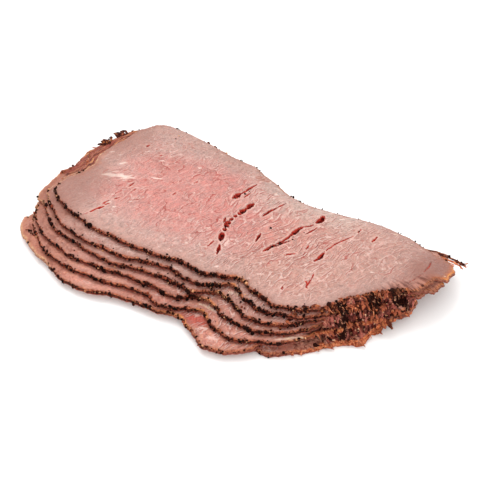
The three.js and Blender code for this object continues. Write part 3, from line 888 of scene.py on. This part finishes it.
def shred_material():
    """Loose torn bits: wet purple-brown meat, darker in places, each with a tone of its own, and
    orange-brown where they are thin, brightened as a painted glow of light through them."""
    p = Paint("shreds")
    tone, tip = p.layers("tone", "tip")
    spots = p.noise(1.3, 4.0, 0.6)
    colour = p.coats(
        (tone + (spots - 0.5) * 1.3).tones(0.15, 0.95, "3a1008", "a4583f"),
        (p.noise(1.7, 3.0).step(0.57, 0.66) * 0.85, "b0683c"),
        (caked_share(p, spots) * 0.9, spots.tones(0.5, 0.66, "0c0302", "3a170b")),
        # Orange-brown on thin bits, partly a painted glow of light through them.
        ((tip + (spots - 0.5) * 0.5).step(0.35, 0.85), spots.tones(0.4, 0.65, "b24e30", "ec9a6e")))
    return p.finish(colour, 0.32 + (spots - 0.5) * 0.35, (p.noise(0.7, 4.0, 0.6) - 0.5) * 0.8,
                    Specular_IOR_Level=0.05, Subsurface_Weight=0.1, Subsurface_Radius=(0.002, 0.0008, 0.0004))


def torn_material():
    """The torn skin of the frayed end: lumps of purple-brown meat parted by cracks painted near black as
    shade, with painted shade in the hollows and painted highlights on the ridges, black where pepper has
    caked, with tan crumbs of fat that also stand for painted glints, and orange along its lower edge,
    partly a painted glow of light through it."""
    p = Paint("torn")
    tone, tip, rise = p.layers("tone", "tip", "rise")
    pushed = p.pushed(p.place, 2.2, 3.0, 2.4)
    slope = p.scaled(pushed, (1.0, 1.0, 0.5))
    edge = Value(p, p.cells(slope, 3.6, "DISTANCE_TO_EDGE").outputs["Distance"])
    own = p.part(p.cells(slope, 3.6).outputs["Color"], "X")
    spots = p.noise(0.9, 4.0, 0.62)
    caked = (p.noise(6.5, 2.0) + (0.5 - rise) * 0.25 + (own - 0.5) * 0.14).step(0.66, 0.71)
    caked = caked.most(caked_share(p, spots))
    # Cracks between the lumps, painted near black as shade.
    crack_shade = (edge + (spots - 0.5) * 0.12).step(0.12, 0.03)
    # Painted highlights along the ridges of the lumps.
    ridge_highlight = (rise + (spots - 0.5) * 0.7).step(0.66, 0.86) * p.noise(2.6, 2.0).step(0.5, 0.6)
    # Tan crumbs of fat, which also stand for painted glints.
    crumb_and_glint = Value(p, p.cells(pushed, 2.3).outputs["Distance"]).step(0.36, 0.2)
    crumb_and_glint = crumb_and_glint * p.noise(3.4, 2.0).step(0.45, 0.53)
    colour = p.coats(
        (own * 0.8 + tone * 0.3 + (spots - 0.5) * 0.6).tones(0.15, 0.85, "5c1e18", "ba6a5c"),
        (caked * 0.95, spots.tones(0.48, 0.66, "0c0302", "3a170b")),
        # Painted shade: near black in the cracks and in the hollows between the lumps.
        ((crack_shade * 0.65).most(rise.step(0.30, 0.05) * 0.75), "220805"),
        (ridge_highlight * 0.72, spots.tones(0.4, 0.6, "ac5840", "e8aa88")),
        (crumb_and_glint * 0.95, spots.tones(0.4, 0.6, "b4663c", "f0c09a")),
        # Orange lower edge: orange-brown crust, partly a painted glow of light through the thin edge.
        ((tip + (spots - 0.5) * 0.7).step(0.35, 0.7), spots.tones(0.38, 0.62, "b04828", "ee9664")))
    height = edge.step(0.0, 0.35) * 0.9 + (spots - 0.5) * 0.7 + crumb_and_glint * 0.5
    rough = 0.34 + (spots - 0.5) * 0.35 + caked * 0.4
    return p.finish(colour, rough.most(0.15), height, Specular_IOR_Level=0.05, Subsurface_Weight=0.06,
                    Subsurface_Radius=(0.002, 0.0008, 0.0004), Coat_Roughness=0.25,
                    Coat_Weight=(spots.step(0.55, 0.66) * (1.0 - caked)).most(crumb_and_glint) * 0.5)


def spun(count, draw):
    """Turning matrices from random unit quaternions."""
    q = draw.normal(size=(count, 4))
    w, x, y, z = (q / np.linalg.norm(q, axis=1)[:, None]).T
    return np.stack([
        np.stack([1 - 2 * (y * y + z * z), 2 * (x * y - z * w), 2 * (x * z + y * w)], 1),
        np.stack([2 * (x * y + z * w), 1 - 2 * (x * x + z * z), 2 * (y * z - x * w)], 1),
        np.stack([2 * (x * z - y * w), 2 * (y * z + x * w), 1 - 2 * (x * x + y * y)], 1)], 1)


def icosahedron():
    """Twelve corners from the golden ratio, and twenty faces."""
    g = (1 + 5 ** 0.5) / 2
    four = [(-1, g, 0), (1, g, 0), (-1, -g, 0), (1, -g, 0)]
    corners = np.concatenate([np.roll(four, k, axis=1) for k in range(3)])
    faces = np.array([(0, 11, 5), (0, 5, 1), (0, 1, 7), (0, 7, 10), (0, 10, 11), (1, 5, 9), (5, 11, 4),
                      (11, 10, 2), (10, 7, 6), (7, 1, 8), (3, 9, 4), (3, 4, 2), (3, 2, 6), (3, 6, 8),
                      (3, 8, 9), (4, 9, 5), (2, 4, 11), (6, 2, 10), (8, 6, 7), (9, 8, 1)])
    return corners / math.sqrt(1 + g * g), faces


def grains(centres, sizes, draw):
    """Cracked grains: an icosahedron with each corner pulled in or out, squeezed and turned."""
    corners, faces = icosahedron()
    n = len(centres)
    lumps = corners[None] * draw.uniform(0.62, 1.25, (n, 12, 1)) * draw.uniform(0.6, 1.2, (n, 1, 3))
    lumps = np.einsum("nij,nkj->nki", spun(n, draw), lumps) * sizes[:, None, None]
    points = (lumps + centres[:, None]).reshape(-1, 3)
    all_faces = (faces[None] + 12 * np.arange(n)[:, None, None]).reshape(-1, 3)
    return points, all_faces, np.repeat(draw.uniform(0, 1, n), 12)


def rim_and_normal(number, u):
    """Points of a slice's rim at the shares u, and the outward normals there."""
    normal = outward(slice_outline(number, u + 0.001) - slice_outline(number, u - 0.001))
    return slice_outline(number, u, fine=True), normal


def skin(points):
    """Height of the uppermost slice at each place, and 0 beyond the pile."""
    height = np.zeros(len(points))
    for number in SLICES:
        within = outside(points, OUTLINES[number]) < 0
        height = np.where(within, underside(points, number) + THICKNESS, height)
    return height


def pepper_share(u, number):
    """How thickly a rim is peppered, from 0 to 1.5, at a share u of the way round."""
    front = FRONT_PEPPER[number - 1] * (0.7 + 0.3 * smooth(0.0, 0.08, u))
    share = np.where(u < 0.345, front, 0.11)
    share = share * (1 - 0.5 * bell(u, 0.213, 0.022)) * (1 - 0.3 * bell(u, 0.32, 0.03))
    clump = (0.35, 0.395, 0.32) if number >= 5 else (0.335, 0.365, 0.32)
    for low, high, amount in ((0.345, 0.51, 0.04), (0.42, 0.50, 0.0), clump, (0.86, 0.96, 0.03),
                              (0.96, 1.0, 0.25)):
        share = np.where((u >= low) & (u < high), amount, share)
    return share * (1 - 0.95 * bare_tip(u, number)) * (1 - 0.35 * thin_crust(u, number))


def pepper_centres(number, draw):
    """Places and sizes of the grains on one rim: drawn round it by thickness, then down the crust's
    side, with some strays on the face next to it; at the frayed end they lie on the torn lumps."""
    u = draw.uniform(0, 1, GRAINS_PER_SLICE * 5)
    u = u[draw.uniform(0, 1.5, len(u)) < pepper_share(u, number)][:GRAINS_PER_SLICE]
    clump = waves(np.stack([u * RIM_LENGTH, np.zeros_like(u)], 1), 9, 500 + number)
    u = u[draw.uniform(0, 1, len(u)) < 0.12 + 0.88 * smooth(-0.6, 0.8, clump)]
    n = len(u)
    rim, normal = rim_and_normal(number, u)
    drop = draw.beta(1.0, 1.8, n)
    stray = draw.uniform(0, 1, n) < STRAY_SHARE
    inward = draw.exponential(0.9, n) + 0.2
    out = np.where(stray, -inward, draw.uniform(-0.25, 0.5, n))
    torn = (u > 0.35) & (u < 0.42) & (number < TOP)
    out = np.where(torn, draw.uniform(-1.0, 3.0, n), out)
    flat = rim + normal * out[:, None]
    size = np.clip(draw.lognormal(math.log(0.47), 0.48, n), 0.2, 1.3) * np.where(stray, 0.7, 1.0)
    surface = np.zeros(n)
    surface[torn] = skin(flat[torn])
    z = underside(flat, number) + THICKNESS * np.where(stray, 1.0, 1.05 - drop)
    z = np.where(torn, surface + draw.uniform(0.3, 1.3, n), z)
    on_top = outside(flat, OUTLINES[TOP]) < -0.8
    keep = ~(torn & ((surface <= 0) | on_top))
    return np.column_stack([flat, np.maximum(z, size * 0.7)])[keep], size[keep]


def bars(line, widths, thick, draw, taper=0.0):
    """Lumpy flattened bars round middle lines of several points. The half width at the share t
    is w * sin(pi (0.1 + 0.8 t))^0.45 * (1 - taper t^1.5) times an uneven 1, and the half height is
    w * thick. The last value is how many points a bar has."""
    count, rings = line.shape[:2]
    sides = BAR_SIDES
    t = np.linspace(0, 1, rings)
    ahead = np.gradient(line, axis=1)
    ahead /= np.linalg.norm(ahead, axis=2)[..., None]
    across = np.cross(ahead, np.array([0, 0, 1.0]))
    across /= np.maximum(np.linalg.norm(across, axis=2)[..., None], 1e-6)
    over = np.cross(across, ahead)
    half = widths[:, None] * np.sin(math.pi * (0.1 + 0.8 * t))[None] ** 0.45
    half = half * draw.uniform(0.7, 1.3, (count, rings)) * (1 - taper * t ** 1.5)
    a = (np.arange(sides) * FULL_TURN / sides)[:, None]
    lumps = draw.uniform(0.82, 1.18, (count, rings, sides, 1))
    about = np.cos(a) * across[:, :, None] + thick * np.sin(a) * over[:, :, None]
    ring = line[:, :, None] + half[:, :, None, None] * about * lumps
    first = line[:, :1] - ahead[:, :1] * half[:, :1, None] * 0.5
    last = line[:, -1:] + ahead[:, -1:] * half[:, -1:, None] * 0.5
    points = np.concatenate([first, ring.reshape(count, -1, 3), last], 1).reshape(-1, 3)
    index = 1 + np.arange(rings * sides).reshape(rings, sides)
    after = np.roll(index, -1, axis=1)
    per = rings * sides + 2
    faces = np.concatenate([
        np.stack([np.zeros(sides, int), after[0], index[0]], 1), triangles_of(index),
        np.stack([index[-1], after[-1], np.full(sides, per - 1)], 1)])
    return points, (faces[None] + per * np.arange(count)[:, None, None]).reshape(-1, 3), per


def lumps_for(number, low, high, draw, count, length, width, sway=0.9, thick=0.4, rings=9, orange=0.0,
              sink=0.75, tones=(0.0, 1.0), taper=0.0, lean=0.0):
    """Torn lumps lying over one slice's rim and down on to whatever is below it: a quadratic
    through a start on the slice, a middle above the surface and an end on what lies there."""
    u = draw.uniform(low, high, count)
    rim, normal = rim_and_normal(number, u)
    side = np.stack([-normal[:, 1], normal[:, 0]], 1)
    heading = normal + side * draw.normal(lean, sway, count)[:, None]
    heading /= np.hypot(heading[:, 0], heading[:, 1])[:, None]
    reach = draw.uniform(*length, count)[:, None]
    start = rim - normal * draw.uniform(0.2, 2.0, count)[:, None]
    middle = start + heading * reach * 0.5 + side * draw.normal(0, 0.5, count)[:, None]
    end = start + heading * reach
    half = draw.uniform(*width, count)
    own_top = underside(start, number) + THICKNESS
    high_z = np.maximum(skin(start), own_top) + draw.uniform(-0.3, 0.2, count)
    low_z = np.maximum(np.maximum(skin(end), high_z - sink * reach[:, 0]), 0.5 * half)
    mid_z = np.maximum(skin(middle), 0.5 * (low_z + high_z)) + draw.uniform(-0.1, 0.4, count)
    a, b, c = (np.column_stack(pair)[:, None] for pair in ((start, high_z), (middle, mid_z), (end, low_z)))
    t = np.linspace(0, 1, rings)[:, None]
    line = a * (1 - t) * (1 - 2 * t) + 4 * b * t * (1 - t) + c * t * (2 * t - 1)
    points, faces, per = bars(line, half, thick, draw, taper=taper)
    points[:, 2] = np.maximum(points[:, 2], LOWEST)
    tone = np.repeat(draw.uniform(*tones, count), per)
    return points, faces, np.full(len(points), orange), tone


def strip_line():
    """Middle line of the strip of browned rim along the back of the right tip and past it."""
    rim, normal = rim_and_normal(6, np.linspace(0.60, 0.522, 11))
    z = underside(rim, 6) + THICKNESS * 0.8
    tip = [(112.0, 33.6, 11.6), (115.4, 32.6, 11.2), (118.4, 31.4, 11.4)]
    bent = np.concatenate([np.column_stack([rim + normal * 0.2, z]), tip])
    steps = np.linspace(0, len(bent) - 1, 40)
    return np.stack([np.interp(steps, np.arange(len(bent)), bent[:, axis]) for axis in range(3)], 1)


def strip_parts(draw):
    """The strip itself, with strands beside and under it and hooked ends."""
    line = strip_line()
    beside = np.stack([line[10:34] + [0.2, -down, -0.4 - 0.3 * down] for down in (1.6, 2.6, 3.5)])
    under = line[None, 18:-2] + [-0.3, -0.9, -0.9]
    hooks = np.array([[(117.4, 31.6, 11.3), (118.9, 30.4, 11.6), (120.0, 30.6, 12.3)],
                      [(116.6, 32.2, 11.4), (118.4, 32.9, 11.9), (119.4, 33.2, 12.6)],
                      [(115.0, 31.8, 10.9), (116.4, 30.2, 10.5), (117.8, 29.4, 10.6)]])
    parts = []
    for lines, half, orange in ((beside, 0.65, 0.8), (line[None], 1.1, 0.42), (under, 0.8, 0.9),
                                (hooks, 0.45, 0.7)):
        points, faces, _ = bars(lines, np.full(len(lines), half), 0.6, draw)
        parts.append((points, faces, np.full(len(points), orange), np.full(len(points), 0.3)))
    return parts


def blurred(rows, reach, width):
    """Each row averaged with its neighbours by a bell of the given width."""
    weight = bell(np.arange(-reach, reach + 1), 0, width)
    weight /= weight.sum()
    return np.stack([np.convolve(np.pad(row, reach, mode="edge"), weight, "valid") for row in rows])


def torn_skin(columns=300, rows=90):
    """Rugged skin over the rims of the frayed end. A row runs from inside the top slice's rim
    outwards; its height is that of the pile's surface, averaged over a few millimetres, and the
    skin stands off it by broad lumps, ridges down the slope and a fine roughness."""
    u = np.linspace(0.322, 0.404, columns)
    rim = slice_outline(TOP, u)
    run = np.gradient(rim, axis=0)
    normal = blurred(np.stack([run[:, 1], -run[:, 0]]), 30, 12).T
    normal /= np.hypot(normal[:, 0], normal[:, 1])[:, None]
    steps = np.arange(-5, 24, 0.5)
    flat = rim[:, None] + normal[:, None] * steps[None, :, None]
    height = skin(flat.reshape(-1, 2)).reshape(columns, -1)
    reach = np.array([steps[np.flatnonzero(row > 0)[-1]] for row in height])
    reach = np.convolve(np.pad(reach, 12, mode="edge"), np.ones(25) / 25, "valid")
    soft = blurred(blurred(height, 6, 3.2).T, 4, 2.0).T
    v = np.linspace(0, 1, rows)
    out = -1.6 + v[None] * (reach + 1.6)[:, None]
    base = np.stack([np.interp(out[i], steps, soft[i]) for i in range(columns)])

    slide = np.stack([np.repeat(u * RIM_LENGTH, rows), out.ravel() + 0.35 * base.ravel()], 1)
    ridges = 1 - np.abs(waves(slide * [1.0, 0.42], 3.0, 802))
    rise = 0.75 * waves(slide, 5.5, 801) + 0.85 * ridges + 0.30 * waves(slide, 1.3, 803, count=24)
    rise = rise.reshape(columns, rows)
    share = (u - u[0]) / (u[-1] - u[0])
    keep = band(share, 0.0, 0.10, 0.86, 1.0)[:, None] * band(v, 0.0, 0.10, 0.93, 1.0)
    off = (0.35 + 0.62 * rise) * keep - 1.3 * (1 - keep)
    flat = rim[:, None] + normal[:, None] * (out + off * 0.62)[..., None]
    points = np.concatenate([flat, (base + off * 0.78)[..., None]], 2)
    inner = points - np.concatenate([0.5 * normal, np.full((columns, 1), 0.6)], 1)[:, None]
    loop = np.concatenate([points, inner[:, ::-1]], 1)
    loop[0] = loop[0].mean(0)
    loop[-1] = loop[-1].mean(0)
    loop[..., 2] = np.maximum(loop[..., 2], LOWEST)

    index = np.arange(columns * 2 * rows).reshape(columns, -1)
    index[0] = index[0, 0]
    index[-1] = index[-1, 0]
    faces = triangles_of(index)
    faces = faces[(faces != np.roll(faces, 1, axis=1)).all(1)]

    def there_and_back(values):
        return np.concatenate([values, values[:, ::-1]], 1).ravel()

    points = loop.reshape(-1, 3)
    layers = {
        "tip": there_and_back(np.tile(smooth(0.80, 0.97, v), (columns, 1))) * 0.9,
        "tone": np.clip(0.5 + 0.35 * waves(points[:, :2], 4.5, 805), 0, 1),
        "rise": there_and_back(np.clip(0.35 + 0.28 * rise, 0, 1))}
    return without_loose(points, faces, layers)


def joined_parts(parts):
    """Several sets of points, faces and layers as one."""
    starts = np.cumsum([0] + [len(part[0]) for part in parts])
    faces = np.concatenate([part[1] + start for part, start in zip(parts, starts)])
    points, tip, tone = (np.concatenate([part[k] for part in parts]) for k in (0, 2, 3))
    return points, faces, {"tip": tip, "tone": tone}


def add_slices():
    flesh = flesh_material()
    for number in SLICES:
        surface = slice_surface(number, *(TOP_GRID if number == TOP else LOWER_GRID))
        piece = build_mesh(f"meat_{number}", *surface, flesh)
        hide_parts(f"slice_{number}")
        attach(piece, "root")


def add_pepper():
    """Grains on every rim, strays on the top slice, a few clumps, and grains along the strip."""
    draw = np.random.default_rng(20)
    placed = [pepper_centres(number, draw) for number in SLICES]
    placed.append((np.column_stack([STRAYS, underside(STRAYS, TOP) + THICKNESS]),
                   draw.uniform(0.45, 0.85, len(STRAYS))))
    for middle, number, count, spread in CLUMPS:
        flat = np.array(middle) + draw.normal(0, spread, (count, 2)) * (1.0, 0.7)
        z = underside(flat, number) + THICKNESS + draw.uniform(0.1, 0.5, count)
        placed.append((np.column_stack([flat, z]), draw.uniform(0.35, 0.8, count)))
    line = strip_line()
    spots = line[draw.integers(14, len(line) - 1, GRAINS_ON_STRIP)]
    spots = spots + draw.normal(0, 0.35, spots.shape) + [0, 0.2, 0.8]
    placed.append((spots, draw.uniform(0.35, 0.85, len(spots))))
    centres, sizes = (np.concatenate(each) for each in zip(*placed))
    which = draw.uniform(0, 1, len(centres))
    low = 0.0
    for name, (share, size, first, second, rough) in PEPPER.items():
        chosen = (which >= low) & (which < low + share)
        low += share
        points, faces, tone = grains(centres[chosen], sizes[chosen] * size, draw)
        material = pepper_material(name, first, second, rough)
        piece = build_mesh(name, points, faces, {"tone": tone}, material, rounded=False)
        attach(piece, "root")


def add_torn_crust():
    piece = build_mesh("torn_crust", *torn_skin(), torn_material())
    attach(piece, "root")


def shred_groups():
    """Groups of loose bits: slice, stretch of its rim, and how they differ from the plain lump."""
    stubs = dict(count=22, length=(1.4, 4.0), width=(0.45, 1.2))
    for number, high in ((2, 0.43), (3, 0.425), (4, 0.41), (5, 0.40), (6, 0.39)):
        yield number, 0.345, high, stubs
    spikes = dict(length=(1.6, 4.0), width=(0.4, 1.1), sway=0.7, thick=0.25, rings=7, orange=0.66, sink=0.35,
                  taper=0.8, lean=0.55)
    for number, low, high, all_round in ((1, 0.335, 0.43, 260), (2, 0.385, 0.44, 200),
                                         (3, 0.405, 0.455, 120)):
        yield number, low, high, dict(spikes, count=int(all_round * (high - low)))
    tongues = dict(width=(0.7, 1.1), sway=0.15, thick=0.3, rings=8, orange=0.6, sink=0.15, taper=0.85,
                   lean=1.1)
    for low, count, length in ((0.360, 4, (5.0, 7.5)), (0.378, 3, (2.5, 4.0)), (0.392, 3, (3.0, 4.5)),
                               (0.412, 3, (3.0, 4.5))):
        yield 1, low, low + 0.005, dict(tongues, count=count, length=length)
    curls = dict(count=7, length=(2.6, 5.0), width=(0.3, 0.5), sway=0.5, thick=0.55, orange=0.58,
                 tones=(0.6, 1.0), taper=0.5, lean=0.4)
    for number in (3, 4, 5, 6, 7):
        yield number, 0.345, 0.392, curls
    yield 7, 0.325, 0.395, dict(count=40, length=(1.2, 2.6), width=(0.35, 0.8), rings=6, orange=0.45)
    fringe = dict(count=8, width=(0.7, 1.4), sway=0.4, thick=0.3, rings=7, orange=0.3, sink=0.05,
                  tones=(0.0, 0.45))
    yield 6, 0.896, 0.902, dict(fringe, length=(4.0, 6.0))
    yield 6, 0.880, 0.889, dict(fringe, length=(3.6, 5.4))
    for number in (3, 4, 5, 6):
        yield number, 0.86, 0.95, dict(count=9, length=(1.2, 2.6), width=(0.35, 0.7), rings=6, orange=0.4,
                                       sink=0.3)


def add_shreds():
    draw = np.random.default_rng(31)
    parts = [lumps_for(number, low, high, draw, **how) for number, low, high, how in shred_groups()]
    piece = build_mesh("shreds", *joined_parts(parts + strip_parts(draw)), shred_material())
    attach(piece, "root")


def add_table():
    mesh = bpy.data.meshes.new("table")
    corners = [(x * TABLE_HALF, y * TABLE_HALF, 0) for x, y in ((-1, -1), (1, -1), (1, 1), (-1, 1))]
    mesh.from_pydata(corners, [], [(0, 1, 2, 3)])
    mesh.materials.append(Paint("table").finish(TABLE_COLOUR, 0.6, 0.0, Specular_IOR_Level=0.2))
    table = linked("table", mesh)


def aim(thing, place, target):
    """Puts a thing at its place, and turns it so that its own -Z looks at the target."""
    thing.location = place
    thing.rotation_mode = "QUATERNION"
    thing.rotation_quaternion = (Vector(target) - Vector(place)).to_track_quat("-Z", "Y")


def add_lights():
    for name, (place, size, power) in LIGHTS.items():
        data = bpy.data.lights.new(name, "AREA")
        data.shape = "DISK"
        data.size = size
        data.energy = power
        aim(linked(name, data), place, (0, 0, 0))


def add_world():
    world = bpy.data.worlds.new("sky")
    world.use_nodes = True
    background = world.node_tree.nodes["Background"]
    background.inputs["Color"].default_value = SKY_COLOUR
    background.inputs["Strength"].default_value = SKY_STRENGTH
    bpy.context.scene.world = world


def add_camera():
    """The photo's view: 25 degrees to the right of square on, 40 degrees up."""
    turn, rise = math.radians(CAMERA_TURN), math.radians(CAMERA_RISE)
    back = np.array([math.sin(turn) * math.cos(rise), -math.cos(turn) * math.cos(rise), math.sin(rise)])
    right = np.array([math.cos(turn), math.sin(turn), 0])
    up = np.cross(back, right)
    target = np.array([*-PILE_MIDDLE * TO_METRES, TARGET_HEIGHT]) + right * TARGET_RIGHT + up * TARGET_UP
    data = bpy.data.cameras.new("camera")
    data.sensor_width = 36
    data.lens = CAMERA_LENS
    camera = linked("camera", data)
    aim(camera, target + back * CAMERA_AWAY, target)
    bpy.context.scene.camera = camera


def main():
    add_slices()
    add_pepper()
    add_torn_crust()
    add_shreds()
    add_table()
    add_world()
    add_lights()
    add_camera()
    scene = bpy.context.scene
    scene.view_settings.view_transform = "Standard"
    scene.view_settings.look = "None"


main()
